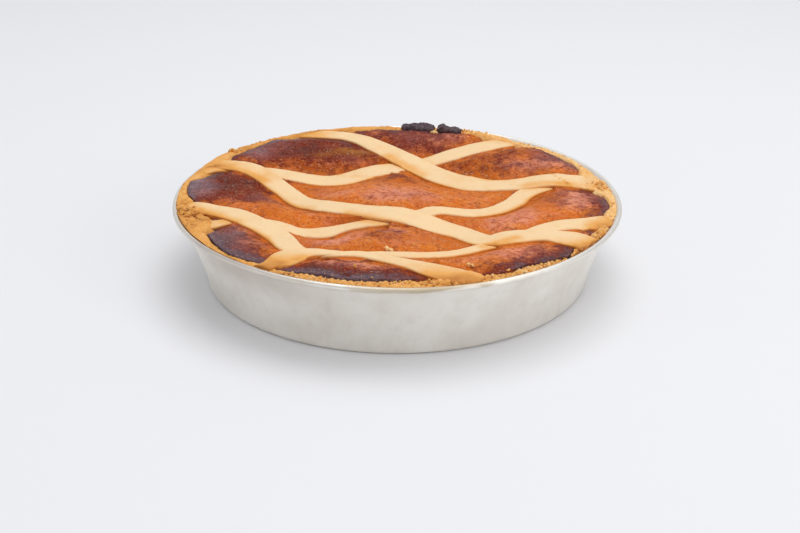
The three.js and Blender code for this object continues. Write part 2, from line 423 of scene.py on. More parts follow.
tinSizes = {
    "sides": 320,
    "footRound": 2.5,
    "waviness": 0.12,   # how far the thin wall strays from a true cone
    "wavinessSize": 45,
    "seed": 3.0,
    "weld": 0.02,       # points closer than this are joined
    "footSteps": 6,
    "wallSteps": 17,
    "insideSteps": 9,
    "beadTurns": (-130, 141, 18),
    "blotches": (3, 9, 401, 1),
    # where the bead is painted darker, yellower and rougher at the front, and where the upper wall is painted
    # in shade on the left: degrees from +X, strength
    "beadTint": {-122: 0, -108: 0.25, -98: 0.6, -90: 0.85, -80: 1.0, -72: 0.8, -64: 0.35, -56: 0, 60: 0},
    "beadTintFrom": (40.4, 42.0),
    "wallShade": {-153: 0, -144: 0.8, -128: 0.9, -115: 0.4, -100: 0.1, -80: 0, 90: 0},
    "wallShadeFrom": (20, 38),
}


def makeTinMetal():
    material, shader = newMaterial("satinAluminium")
    cloud = grain(28, 3)
    smear = grain(6, 5, 0.65, stretch=(1, 1, 0.4))
    spun = grain(1.4, 2, 0.5, stretch=(0.04, 0.04, 3))
    beadTint = layerOf("beadTint")
    # the bead darkened, yellowed and roughened at the front, and painted shade on the upper wall at the left
    tint = painted(
        rgb(236, 231, 222), (mapped(cloud, 0.35, 0.65), rgb(247, 243, 236)),
        (mapped(smear, 0.5, 0.8, 0, 0.35), rgb(217, 208, 200)),
        (layerOf("wallShade"), rgb(208, 199, 190)), (beadTint, rgb(204, 190, 166)))
    rough = plus(mapped(smear, 0.2, 0.8, 0.40, 0.55), times(beadTint, 0.2))
    setInputs(shader, {
        "Base Color": tint, "Roughness": rough, "Metallic": 1.0,
        "Normal": bumps((spun, 0.010), (cloud, 0.12))})
    return material


def tinProfile():   # from the middle of the underside, up the outside, over the bead and back inside
    bead, base, foot, wall = tart["beadRadius"], tart["baseRadius"], tinSizes["footRound"], tart["wall"]
    beadX, beadZ = rimRadius - bead, tinHeight - bead
    profile = [(0, 0), (base * 0.5, 0), (base - foot * 1.5, 0), (base - foot, 0)]
    for t in np.linspace(0, 1, tinSizes["footSteps"] + 1)[1:]:
        x = (1 - t) ** 2 * (base - foot) + 2 * t * (1 - t) * base + t * t * (tinInnerRadius(foot) + wall)
        profile.append((x, t * t * foot))
    for z in np.linspace(foot, tinHeight - 2.2 * bead, tinSizes["wallSteps"] + 1)[1:]:
        profile.append((tinInnerRadius(z) + wall, z))
    for turn in range(*tinSizes["beadTurns"]):
        at = math.radians(turn)
        profile.append((beadX + bead * math.cos(at), beadZ + bead * math.sin(at)))
    for z in np.linspace(tinHeight - 2 * bead, foot, tinSizes["insideSteps"]):
        profile.append((tinInnerRadius(z), z))
    profile += [(base - foot, wall), (base * 0.5, wall), (0, wall)]
    return [(x, 0, z) for x, z in profile]


def makeTin():
    metal = makeTinMetal()
    profile = tinProfile()
    values = {
        "Sides": tinSizes["sides"] + 1, "Profile Points": len(profile), "Height": tinHeight * mm,
        "Waviness": tinSizes["waviness"] * mm, "Waviness Size": tinSizes["wavinessSize"] * mm,
        "Seed": tinSizes["seed"], "Material": metal}
    given = startTree("turnedSheet", values)
    sheet = addNode("GeometryNodeMeshGrid", {
        "Size X": 1.0, "Size Y": 1.0, "Vertices X": given["Sides"], "Vertices Y": given["Profile Points"]})
    across, down, _ = split(placeOf())
    turn = times(across, 2 * math.pi)
    cosine, sine = (sums(kind, turn) for kind in ("COSINE", "SINE"))
    last = sums("SUBTRACT", given["Profile Points"], 1.0)
    sample = addNode("GeometryNodeSampleIndex", {
        "Geometry": given["Geometry"], "Value": placeOf(),
        "Index": sums("ROUND", times(plus(down, 0.5), last))},
        data_type="FLOAT_VECTOR", domain="POINT")
    around = xyz(times(cosine, rimRadius * mm), times(sine, rimRadius * mm), given["Seed"])
    noise = addNode("ShaderNodeTexNoise", {
        "Vector": around, "Scale": sums("DIVIDE", 1.0, given["Waviness Size"]), "Detail": 1.0})
    radius, _, height = split(sample.outputs[0])
    stray = times(sums("SUBTRACT", noise.outputs[0], 0.5), given["Waviness"])
    radius = plus(radius, times(stray, sums("DIVIDE", height, given["Height"])))
    spot = xyz(times(radius, cosine), times(radius, sine), height)
    joined = addNode("GeometryNodeMergeByDistance", {
        "Geometry": shifted(sheet.outputs["Mesh"], "Position", spot), "Distance": tinSizes["weld"] * mm})
    tree = endTree(joined.outputs[0], given["Material"])
    mesh = runTree(tree, routeCurve("tinProfile", profile), values)
    points = meshPoints(mesh)
    turn, height = polar(points)[0], np.clip(points[:, 2] / tinHeight, 0, 1)
    level = points[:, 2] + uneven(points, [tinSizes["blotches"]])
    for name in ("beadTint", "wallShade"):
        paint(mesh, name, roundTable(turn, tinSizes[name]) * ease(level, *tinSizes[name + "From"]))
    points[:, 2] -= roundTable(turn, tart["bentRim"]) * height ** 3
    setPoints(mesh, points)
    newPiece("aluminium_tin", mesh, metal, "tin", "tin")


# The lattice strips.

lattice = {
    "thickness": 3.0,
    "overLift": 2.4,
    "underLift": 1.6,
    "crossingRise": 0.9,
    "crossingSink": 0.5,
    "crossingReach": 15,
    "crossingGap": 8,
    "around": 60,
    "along": 330,
    "sideSquareness": 0.45,
    "topSquareness": 0.62,
    "routeSteps": 160,
    "rimGap": 0.7,     # the ends stop this far inside the crust's outer edge
    "endDrop": 0.5,    # how far the ends were pressed down into the crust
    "endReach": 9,
    "endRound": 4,     # length over which an end is rounded off
    "endWidth": 0.45,  # what is left of the width and the height at the very end
    "endHeight": 0.15,
    "endBluntness": 2.4,
    # unevenness, each: height, size, seed, layers; then the torn edges' and the grains' size and seed
    "edgeStray": [(0.35, 9, 5, 1), (0.12, 2.5, 15, 1)],
    "topStray": [(0.22, 14, 45, 1), (0.08, 3, 55, 1)],
    "bakeStray": [(0.10, 16, 91, 1)],
    "tears": (3.0, 25, 2),
    "grains": (2.3, 65),
    "grainLevel": 0.45,
    "rimWander": (0.5, 2.9),
    # its pale, golden and brown colour, then how browned the patches, the sides and the rim's side are
    "tones": [(240, 207, 160), (231, 167, 87), (184, 112, 44)],
    "brownedSeed": 81,
    "patchBrown": 0.55,
    "sideBrown": 0.85,
    "rimBrown": 0.25,
    # each strip runs through a few places: x, y, width there
    "over": [
        [(-62, 101, 12), (-30, 97, 13), (-8, 79, 16), (15, 58, 19), (38, 38, 21), (60, 30, 16), (86, 27, 19),
         (114, 19, 19)],
        [(-108, 45, 14), (-84, 37, 14), (-61, 13, 13), (-46, -7, 15), (-16, -23.5, 15.5), (-1, -30.5, 19),
         (14, -35, 18.5), (32, -42, 15), (45, -56, 15), (60, -56, 15), (74, -55, 13), (86, -57.5, 17),
         (99, -63, 23)],
        [(-112, -19, 13), (-84, -34, 14), (-62, -53, 14), (-52, -72, 12), (-40, -81, 6), (-28, -82, 5),
         (-18, -82, 6), (-4, -88, 7), (5, -92, 9), (14, -97, 13), (25, -103, 16), (34, -106, 13),
         (41, -109, 8)],
    ],
    "under": [
        [(-111, 31, 8), (-99, 39.5, 11), (-86, 38.5, 12), (-68, 37, 14), (-40, 38, 16), (-16, 50, 16),
         (10, 66, 14), (40, 81, 15), (70, 93, 14)],
        [(-111, -45, 14), (-100, -46, 12), (-89, -41, 7), (-78, -38, 8), (-66, -39, 10), (-52, -43, 11),
         (-38, -40, 13), (-27, -37, 9), (-17, -36.2, 9), (-7, -35.5, 9.5), (2, -31, 10), (13, -25, 10),
         (24, -18, 10), (48, -13, 11), (62, 1, 12), (75, 19, 12), (107, 28, 12)],
        [(-70, -98, 4), (-63, -97, 7), (-56, -92, 15), (-50, -85, 16), (-43, -81, 10), (-33, -81, 6),
         (-10, -81, 7), (22, -78, 7), (44, -63.5, 7.5), (56, -57, 9), (68, -49, 11), (84, -39, 12),
         (98, -36.5, 15), (113, -31, 15)],
    ],
    # edges torn when the dough was laid: x, y, reach, depth
    "tornEdges": [
        (-6, 44, 9, 1.4), (0, 53, 6, 1.0), (93, 30, 6, 1.2), (-103, -33, 7, 1.2), (100, -44, 9, 1.6),
        (-62, -97, 7, 1.6),
    ],
    # ends that crumbled: x, y, reach, height of the grains
    "crumbledEnds": [
        (108, 17, 9, 1.5), (106, -44, 8, 1.4), (97, -68, 9, 1.0), (-108, -27, 7, 1.3), (36, -108, 8, 1.0),
    ],
    # places pressed down or, below 0, lifted, strip by strip: x, y, reach, depth
    "pressed": {
        "strip_over_3": [(-48, -80, 12, 1.4), (-36, -82, 9, 0.7)], "strip_under_2": [(-100, -46, 14, 0.3)],
        "strip_under_1": [(-105, 35, 9, -0.9)],
        "strip_under_3": [(-53, -87, 13, -1.7), (-35, -81, 10, -1.6), (108, -34, 12, -0.3)],
        "strip_over_2": [(99, -66, 10, -0.4)],
    },
    # better browned places: strength, x, y, length, width and, if any, turn
    "browned": [
        (1.0, -112, 43, 12, 12), (0.6, -96, 44, 12, 6, -20), (0.5, -71, 31, 9, 7, -35),
        (0.2, -104, 32, 14, 9, 20), (0.35, -100, -31, 14, 6, -25), (0.5, -112, -20, 8, 8),
        (0.8, -64, 99, 12, 9, 20), (0.4, -45, 97, 10, 6, -10), (0.95, 34, -107, 17, 7, -15),
        (0.3, 12, -101, 12, 4, -25), (0.95, -61, -94, 13, 8, 25), (0.35, -48, -86, 10, 5, 20),
        (0.6, 96, 17, 12, 5, -20), (0.85, 114, 11, 7, 8), (1.0, 106, -41, 12, 6, 15), (0.9, 113, -32, 7, 9),
        (1.1, 99, -69, 9, 12, -50), (0.8, 88, -71, 9, 5, -30), (0.3, 70, 93, 8, 9),
        (1.0, -104, -46, 13, 8, -20),
    ],
    # golden paint along the front-facing lower edges, partly the strips' baked sides and partly painted shade
    # where an over strip stands above the strip beside it: a path, its width, its strength
    "goldenShadedEdges": [
        ([(-26, -28), (-11, -38), (2, -44)], 3.5, 0.75), ([(42, -65), (50, -62), (59, -59)], 3.2, 0.8),
        ([(72, 23), (80, 22), (94, 17)], 4.0, 0.75),
        ([(-106, 40), (-97, 37), (-86, 31), (-74, 22)], 3.4, 0.9),
        ([(-103, -30), (-97, -35), (-91, -38), (-83, -44)], 4.0, 0.8),
        ([(-5, 68), (4, 59), (14, 49)], 4.0, 0.75), ([(-70, -64), (-64, -72), (-60, -80)], 3.0, 0.5),
        ([(13, -104), (22, -109), (34, -111)], 3.5, 0.5), ([(-34, 46), (-20, 43), (-8, 41)], 2.0, 0.4),
        ([(-62, 0), (-54, -8), (-44, -16)], 2.2, 0.35), ([(86, 37), (90, 27), (94, 18)], 0.7, 0.9),
        ([(-70, -98), (-60, -99), (-50, -95), (-44, -88)], 3.0, 0.5),
    ],
}

# cracks and crumbled gaps in the pastry: a path, its width, its depth
crevices = [
    ([(-115, -22), (-111, -30), (-107, -35)], 0.8, 1.4), ([(-112, -27), (-106, -26)], 0.8, 1.4),
    ([(-108, -31), (-104, -35), (-100, -42), (-95, -43)], 0.7, 1.8),
    ([(-63, -100), (-54, -104), (-46, -104), (-40, -100)], 0.9, 1.8),
    ([(88, -46), (93, -49), (98, -55)], 1.5, 2.8),
    ([(94, -48), (101, -48), (107, -46), (111, -40)], 0.6, 1.4),
    ([(102, -55), (98, -61), (94, -66.5), (89, -72), (82, -81)], 1.0, 2.2),
    ([(108, 22), (111, 15)], 0.5, 0.8), ([(8, -109), (16, -112), (26, -113.5), (38, -112.5)], 1.1, 2.8),
]


def crevicesAt(x, y):   # how deep the cracks are there, and how strongly painted shade darkens them
    x, y = ragged(x, y, 71, (0.9, 4), (0.4, 1.5))
    depth, dark = np.zeros_like(x), np.zeros_like(x)
    for path, width, deep in crevices:
        inside = fade(toPath(x, y, path), width)
        depth = np.maximum(depth, deep * inside)
        dark = np.maximum(dark, inside)
    return depth, dark


def smoothRoute(places, steps):
    places = np.array(places, float)
    padded = np.vstack([2 * places[0] - places[1], places, 2 * places[-1] - places[-2]])
    route = []
    for at in np.linspace(0, len(places) - 1, steps + 1):
        k = min(int(at), len(places) - 2)
        t = at - k
        a, b, c, d = padded[k:k + 4]
        route.append(0.5 * (2 * b + (c - a) * t + (2 * a - 5 * b + 4 * c - d) * t ** 2
                            + (3 * b - a - 3 * c + d) * t ** 3))
    return np.array(route)


def layStrips():
    laid = []
    for kind in ("over", "under"):
        for i, places in enumerate(lattice[kind]):
            laid.append({"name": f"strip_{kind}_{i + 1}", "kind": kind, "crossings": [],
                         "route": smoothRoute(places, lattice["routeSteps"])})
    for upper in laid[:3]:
        for lower in laid[3:]:
            gaps = np.linalg.norm(upper["route"][:, None, :2] - lower["route"][None, :, :2], axis=2)
            i, j = np.unravel_index(gaps.argmin(), gaps.shape)
            if gaps[i, j] < lattice["crossingGap"]:
                middle = (upper["route"][i, :2] + lower["route"][j, :2]) / 2
                upper["crossings"].append(middle)
                lower["crossings"].append(middle)
    return laid


def stripTopAt(strip, x, y):
    near = np.zeros_like(x)
    for cx, cy in strip["crossings"]:
        near = np.maximum(near, fadeFrom(x, y, cx, cy, lattice["crossingReach"]))
    step = lattice["crossingRise"] if strip["kind"] == "over" else -lattice["crossingSink"]
    top = levelAt(x, y) + lattice[strip["kind"] + "Lift"] + step * near
    for px, py, spread, deep in lattice["pressed"].get(strip["name"], []):
        top = top - deep * fadeFrom(x, y, px, py, spread)
    return top


def toStrips(x, y):   # how far the nearest strip's edge is, and how high its top stands there
    nearest = np.full(len(x), 1e9)
    height = np.zeros(len(x))
    for strip in strips:
        route = strip["route"]
        tops = stripTopAt(strip, route[:, 0], route[:, 1])
        for start in range(0, len(x), 8000):
            part = slice(start, start + 8000)
            gaps = np.hypot(x[part, None] - route[None, :, 0], y[part, None] - route[None, :, 1])
            gaps = gaps - route[None, :, 2] / 2
            best = gaps.argmin(axis=1)
            gap = gaps[np.arange(len(best)), best]
            closer = gap < nearest[part]
            nearest[part] = np.where(closer, gap, nearest[part])
            height[part] = np.where(closer, tops[best], height[part])
    return np.maximum(nearest, 0), height


def signedPower(value, power):
    size = sums("POWER", sums("ABSOLUTE", value), power)
    return times(sums("SIGN", value), size)


def keepLayer(geometry, name, value):
    return addNode("GeometryNodeStoreNamedAttribute", {
        "Geometry": geometry, "Name": name, "Value": value}, data_type="FLOAT", domain="POINT").outputs[0]


def makeStripTree(values):
    given = startTree("pastryStrip", values)
    bar = addNode("GeometryNodeMeshCylinder", {
        "Vertices": given["Around"], "Side Segments": given["Along"], "Fill Segments": 4,
        "Radius": 1.0, "Depth": 1.0}, fill_type="TRIANGLE_FAN")
    x, y, z = split(placeOf())
    turn = sums("ARCTAN2", y, x)
    outward = sums("SQRT", plus(times(x, x), times(y, y)))
    along = plus(z, 0.5)
    across = times(signedPower(sums("COSINE", turn), given["Side Squareness"]), outward)
    up = times(signedPower(sums("SINE", turn), given["Top Squareness"]), outward)
    kept = keepLayer(bar.outputs["Mesh"], "along", along)
    kept = keepLayer(kept, "across", across)
    sample = addNode("GeometryNodeSampleCurve", {
        "Curves": given["Geometry"], "Value": addNode("GeometryNodeInputRadius").outputs[0],
        "Factor": along}, mode="FACTOR", use_all_curves=True)
    beside = vectors("NORMALIZE", vectors("CROSS_PRODUCT", (0, 0, 1), sample.outputs["Tangent"]))
    sideways = scaled(beside, times(across, sample.outputs[0]))
    rise = times(up, times(given["Thickness"], 0.5))
    spot = vectors("ADD", vectors("ADD", sample.outputs["Position"], sideways), xyz(0, 0, rise))
    return endTree(shifted(kept, "Position", spot), given["Material"])


def makePastry(name, tones, crumbly):
    material, shader = newMaterial(name)
    pale, golden, brown = (rgb(*tone) for tone in tones)
    soft, fine, dust = grain(9, 3), grain(1.6, 4), grain(0.55, 3)
    pinholes = speckle(3.1)
    bake = plus(layerOf("baked"), mapped(soft, 0.3, 0.7, -0.09, 0.09))
    bake = plus(bake, mapped(fine, 0.3, 0.7, -0.06 * crumbly, 0.10 * crumbly))
    # painted shade: brown in the pinholes, and the crack colour in the cracks and between the crust's grains
    colour = painted(
        pale, (mapped(bake, 0.0, 0.5), golden), (mapped(bake, 0.5, 1.0), brown),
        (mapped(dust, 0.28, 0.42, 0.28, 0), golden), (mapped(pinholes, 0.02, 0.09, 0.4, 0), brown),
        (layerOf("crackShade"), rgb(146, 86, 36)))
    setInputs(shader, {
        "Base Color": colour, "Roughness": mapped(fine, 0.3, 0.7, 0.62, 0.80), "Specular IOR Level": 0.25,
        "Subsurface Weight": 0.12, "Subsurface Radius": (1.0, 0.55, 0.25), "Subsurface Scale": 0.0015,
        "Normal": bumps((soft, 0.45), (fine, 0.24 + 0.20 * crumbly), (dust, 0.12 + 0.07 * crumbly),
                        (mapped(pinholes, 0.0, 0.12), 0.12))})
    return material


def makeStrips():
    material = makePastry("paleShortcrust", lattice["tones"], 0.0)
    values = {
        "Thickness": lattice["thickness"] * mm, "Around": lattice["around"], "Along": lattice["along"],
        "Side Squareness": lattice["sideSquareness"], "Top Squareness": lattice["topSquareness"],
        "Material": material}
    tree = makeStripTree(values)
    for i, strip in enumerate(strips):
        route = strip["route"]
        x, y, width = route.T
        line = flat(x, y, stripTopAt(strip, x, y) - lattice["thickness"] / 2)
        passed = np.concatenate([[0], np.cumsum(np.hypot(np.diff(x), np.diff(y)))])
        length = passed[-1]
        blunt = np.clip(np.minimum(passed, length - passed) / lattice["endRound"], 0, 1)
        width = width * (lattice["endWidth"] + (1 - lattice["endWidth"]) * np.sqrt(1 - (1 - blunt) ** 2))
        mesh = runTree(tree, routeCurve(strip["name"] + "_route", line, width / 2), values)
        points = meshPoints(mesh)
        along, across = layerValues(mesh, "along"), layerValues(mesh, "across")
        toEnd = np.minimum(along, 1 - along) * length
        heading = np.gradient(route[:, :2], axis=0)
        heading /= np.linalg.norm(heading, axis=1)[:, None]
        at = along * (len(route) - 1)
        headX, headY = (np.interp(at, np.arange(len(route)), part) for part in heading.T)
        x, y, z = points.T
        stray = uneven(points, lattice["edgeStray"], i)
        tears = layered(points, *lattice["tears"])
        for tx, ty, spread, deep in lattice["tornEdges"]:
            stray = stray + deep * fadeFrom(x, y, tx, ty, spread) * tears
        stray = stray * np.abs(across) ** 3 * np.sign(across)
        x -= headY * stray
        y += headX * stray
        z += uneven(points, lattice["topStray"], i)
        bottom = stripTopAt(strip, x, y) - lattice["thickness"]
        rounding = 1 - (1 - np.clip(toEnd / lattice["endRound"], 0, 1)) ** lattice["endBluntness"]
        height = lattice["endHeight"] + (1 - lattice["endHeight"]) * np.sqrt(rounding)
        z[:] = bottom + (z - bottom) * height
        z -= lattice["endDrop"] * (1 - ease(toEnd, 0, lattice["endReach"]))
        angle, far = polar(points)
        amount, seed = lattice["rimWander"]
        pullIn(points, crustReach(angle) - lattice["rimGap"] + amount * wander(angle, seed))
        depth, dark = crevicesAt(x, y)
        grains = pebbles(points, *lattice["grains"]) - lattice["grainLevel"]
        for cx, cy, spread, tall in lattice["crumbledEnds"]:
            depth = depth - tall * fadeFrom(x, y, cx, cy, spread) * grains
        side = np.clip((stripTopAt(strip, x, y) - z) / lattice["thickness"], 0, 1)
        z -= depth * (1 - side)
        keepInside(points)
        setPoints(mesh, points)
        browned = patches(x, y, lattice["browned"], lattice["brownedSeed"])
        # golden paint along the front-facing lower edges: part baked side, part painted shade
        for path, wide, strength in lattice["goldenShadedEdges"]:
            browned = browned + strength * fade(toPath(x, y, path), wide)
        paint(mesh, "baked", uneven(points, lattice["bakeStray"], i) + lattice["patchBrown"] * browned
              + lattice["sideBrown"] * ease(side, 0.10, 0.7) + lattice["rimBrown"] * ease(far, 100, 116))
        # painted shade in the cracks
        paint(mesh, "crackShade", ease(dark, 0.35, 0.95))
        newPiece("pastry_" + strip["name"], mesh, material, strip["name"], strip["name"])


# The filling.

filling = {
    "cells": 300,         # squares across the top
    "bulgeHeight": 3.1,
    "bulgeReach": 7,
    "stripStep": 1.4,     # how far a strip's top stands over the filling at its edge
    "valleyDepth": 0.2,
    "edgeDrop": 0.9,
    "edgeRoll": 3.0,
    "webReach": 6,        # how far beside a strip's end the pastry fills the corner
    "webDepth": 3.0,
    "floor": 5.4,
    "skirtFoot": 6,       # how far the hidden lower edge stands in from the pastry
    # unevenness, each: height, size, seed, layers; then the curds and what their height varies with
    "uneven": [(0.55, 12, 141, 1), (0.30, 4.0, 151, 3)],
    "curds": (2.9, 161),
    "curdHeight": 0.38,
    "curdPatches": [(0.5, 9, 171, 1)],
    "settle": 0.15,
    "swellReach": 2.5,
    "wrinkles": [(1.0, 3.2, 131, 1)],
    "wrinkleHeight": 0.35,
    "creaseStray": ((5, 181), (5, 191)),
    "outlineStray": [(0.4, 6, 61, 1)],
    "edgeStray": [(0.4, 6, 115, 1)],
    "besideStrip": (0.8, 3.5),    # how caramelised it is right beside a strip, and how far from it
    "besideCrust": (0.5, 7),      # the same for the burning beside the crust
    # the filling's outline: degrees from +X, radius
    "outline": {
        -14: 113.2, -8: 113, -4: 112, 0: 110.8, 6: 109, 12: 108, 21: 110.5, 25: 112.3, 33: 112.2, 40: 111.4,
        45: 112.2, 50: 114.2, 56: 113, 61: 111, 67: 112, 75: 110, 84: 108.4, 93: 108, 101: 110, 107: 112,
        113: 114, 122: 114.4, 130: 113, 136: 110.8, 142: 110.5, 150: 110.6, 158: 110.5, 162: 111.5, 167: 113,
        172: 114, 177: 113.2, 182: 112, 188: 109.5, 195: 107, 200: 104.5, 204: 103.5, 207: 106, 211: 111,
        217: 113.4, 222: 115, 227: 115.8, 232: 115.4, 240: 114, 246: 113, 251: 112.3, 258: 112.9, 264: 111.8,
        269: 109.7, 273: 108, 278: 107, 285: 108.5, 291: 111, 295: 112.2, 299: 110.8, 304: 110, 308: 113,
        316: 114.7, 322: 113.5, 326: 112, 338: 111.5,
    },
    # the skin's colours, from golden to burnt; a place under the painted pink sheen takes the one whose name
    # ends in Pink; the pink, rose and lilac ones are painted sheen, the pale curd ones painted highlights,
    # the palest painted glints and the pit one painted shade
    "tones": {
        "amber": (211, 101, 28), "gold": (236, 136, 48), "pink": (231, 152, 129), "rose": (206, 129, 121),
        "rust": (190, 84, 44), "curd": (242, 164, 92), "umber": (160, 66, 26), "caramel": (202, 102, 20),
        "brown": (118, 39, 16), "brownPink": (143, 78, 70), "dark": (76, 33, 26), "darkPink": (92, 58, 60),
        "golden": (168, 104, 34), "black": (93, 74, 82), "burntCurd": (226, 158, 128),
        "sheen": (176, 150, 156), "pit": (96, 36, 16), "fleck": (250, 220, 180),
    },
    # the seed of each painted layer below
    "layerSeeds": {
        "burnt": 101, "blackened": 111, "caramel": 121, "pinkish": 131, "golden": 141, "flecked": 151,
        "sheen": 161,
    },
    # where the heat caught it, each: strength, x, y, length, width and, if any, turn; the two only 2 wide, at
    # -22, -89 and 8, -101, are a painted shadow along the lower edge of the third over strip
    "burnt": [
        (0.5, -64, 80, 34, 12, 32), (0.35, -38, 88, 18, 8, -14), (0.6, -58, 66, 32, 15, 20),
        (0.42, -34, 63, 26, 11, 4), (0.3, -22, 76, 12, 8), (0.25, -48, 49, 10, 5), (0.28, -76, 52, 13, 6),
        (0.55, -34, 88, 9, 7), (0.4, 8, 102, 34, 9), (0.5, 12, 88, 26, 16), (0.3, 84, 77, 16, 6, -45),
        (0.35, 58, 60, 5, 11, -10), (0.15, 64, 48, 16, 5, 10), (0.3, 66, 73, 9, 6, -20),
        (0.35, 42, 60, 20, 12), (0.35, 86, 58, 13, 24, -50), (0.6, -108, 8, 10, 17),
        (0.6, -96, 18, 18, 14, -8), (0.7, -87, 11, 13, 15, -40), (0.45, -76, -6, 7, 10),
        (0.35, -80, -8, 18, 8, 5), (0.35, -96, -2, 12, 10), (0.35, -2, 44, 4, 6, -20), (0.4, 0, 36, 13, 9),
        (0.3, -5, -57, 13, 7, -5), (0.3, -60, 24, 10, 5), (0.22, 101, -5, 14, 16), (0.25, 82, -3, 8, 9),
        (0.3, 108, -6, 6, 16), (0.4, 98, 10, 14, 5, -10), (0.3, 2, -46, 16, 4), (0.6, -90, -68, 24, 12, -58),
        (0.45, -81, -59, 12, 13, -55), (0.55, -22, -106, 38, 8, -2), (0.35, -38, -97, 9, 7),
        (0.25, -68, -78, 8, 9, -50), (0.2, -22, -97, 34, 6, -8), (0.75, 84, -78, 11, 11, 30),
        (0.5, 68, -89, 21, 6, 30), (0.25, 43, -95, 7, 7), (0.35, 80, -80, 13, 7, 25),
        (0.3, 45, -102, 10, 5, 20), (0.25, -40, -18, 24, 5, -20), (0.5, -22, -89, 30, 2, -5),
        (0.4, 8, -101, 12, 2, -28),
    ],
    "blackened": [
        (0.45, -106, 10, 10, 12), (0.3, -92, 24, 14, 6, -8), (0.5, -92, -72, 22, 9, -58),
        (0.3, -82, -70, 14, 8, -58), (0.45, -74, -88, 10, 7, -45), (0.25, -92, -57, 7, 8),
        (0.45, -34, 90, 9, 5, -10), (0.4, -26, -106, 32, 4),
    ],
    # how dark it is right beside the crust: degrees from +X, strength
    "scorchedEdge": {
        -16: 0.4, -8: 0.7, -1: 0.5, 6: 0.2, 18: 0.25, 26: 0.5, 45: 0.4, 55: 0.15, 66: 0.1, 76: 0.45, 95: 0.5,
        101: 0.3, 110: 0.6, 116: 0.85, 140: 0.9, 148: 0.5, 156: 0.3, 165: 0.8, 182: 0.85, 188: 0.3, 205: 0.5,
        209: 0.9, 233: 0.95, 238: 0.6, 246: 1.0, 262: 1.0, 270: 0.7, 278: 0.2, 294: 0.2, 301: 0.5, 311: 0.45,
        318: 0.5, 324: 0.35,
    },
    "edgeReach": 5,
    "caramel": [
        (0.7, 22, 34, 14, 10, -50), (0.8, -50, 24, 18, 6), (0.8, -47, 15, 12, 6, -20), (1.0, 2, 29, 14, 12),
        (0.6, 9, -12, 3, 7), (0.5, 48, 17, 12, 4, 10), (1.0, 28, -58, 18, 14, -40), (0.7, -14, -74, 26, 5),
        (0.8, -8, 39, 22, 4, 10), (1.0, 79, 0, 10, 16, -12), (0.6, 74, -16, 8, 10, -30),
        (0.6, 38, -28, 10, 5, -30), (0.9, -67, -22, 13, 8, -50), (0.5, -51, -37, 8, 5),
        (0.7, -12, 68, 7, 10, -45), (0.3, -46, 52, 26, 6, 6), (0.95, 44, 62, 16, 14),
        (0.7, 56, 46, 14, 6, -10), (0.8, 74, 62, 8, 7), (0.3, 14, 77, 8, 8), (0.5, 26, -84, 20, 4, 10),
        (0.95, -75, 1, 13, 10, 20), (0.6, -62, -66, 7, 6), (0.6, -46, -62, 6, 10, 20),
        (0.6, -70, 2, 7, 12, 30), (0.4, -98, -2, 8, 6), (0.5, 48, -62, 8, 5, -30), (0.5, -10, 30, 16, 4),
        (0.5, 0, -66, 18, 5, 8),
    ],
    # a pink sheen painted on the puffed crowns, standing in for the glossy skin's reflection: strength, x, y,
    # length, width and, if any, turn
    "pinkish": [
        (0.8, -42, 8, 16, 10, -30), (0.7, 2, 1, 22, 11), (0.7, 55, 5, 11, 11, 30), (0.8, -16, -10, 10, 6),
        (0.6, 0, -12, 20, 8), (1.0, -32, -61, 14, 9, 20), (0.8, -2, -50, 12, 6), (0.5, 0, -70, 18, 5),
        (0.8, 46, -36, 18, 10, 40), (0.9, 67, -27, 9, 18), (0.95, 100, -4, 15, 18),
        (0.95, 87, 57, 15, 26, -55), (0.8, 50, -80, 20, 8, 25), (0.3, 76, -78, 16, 8, 30),
        (0.8, -78, 76, 20, 10, 36), (0.9, -80, 56, 11, 8), (0.5, -40, 92, 20, 5), (1.0, -18, -95, 34, 8, -4),
        (0.7, 18, 98, 36, 10), (0.8, -86, -68, 20, 14, -58), (0.8, -106, 6, 9, 18), (0.5, -74, -4, 9, 8),
        (1.0, -35, -19, 25, 9, -24), (0.5, -72, 22, 10, 6), (0.5, -24, 60, 14, 6), (0.5, -66, -62, 8, 10),
    ],
    # painted glints: small pale flecks painted where the glossy skin catches the light
    "flecked": [
        (0.8, -23, 72, 16, 7, 12), (0.5, -44, 66, 10, 5), (0.8, 38, 60, 8, 8), (0.7, 56, 48, 10, 8, -30),
        (0.7, -84, 6, 10, 12), (0.8, -28, -107, 28, 3, -2), (0.5, 84, -2, 5, 9), (0.4, 24, -62, 10, 8),
    ],
    "golden": [(0.9, -25, 72, 12, 3.4, 10), (0.35, -44, 66, 8, 3, 20)],
    # a pale lilac sheen painted on the burnt skin, standing in for its glossy reflection
    "sheen": [
        (0.9, -110, 16, 5, 12), (0.5, -107, 0, 6, 7), (0.5, -82, 63, 8, 7, 30), (0.4, -84, -57, 9, 7, -50),
        (0.7, -80, 86, 20, 5, 32), (0.7, -100, -60, 14, 6, -52), (0.6, -62, 90, 14, 4, 20),
    ],
    # creases where one part dried before the next: a path, its width, its depth
    "creases": [
        ([(80, 10), (84, 0), (87, -10), (84, -22)], 1.2, 1.0), ([(-68, -10), (-70, 0), (-76, 12)], 1.6, 0.5),
        ([(8, -6), (10, -12), (8, -20)], 1.2, 0.5), ([(-52, 84), (-38, 78), (-22, 78)], 1.6, 0.6),
    ],
}


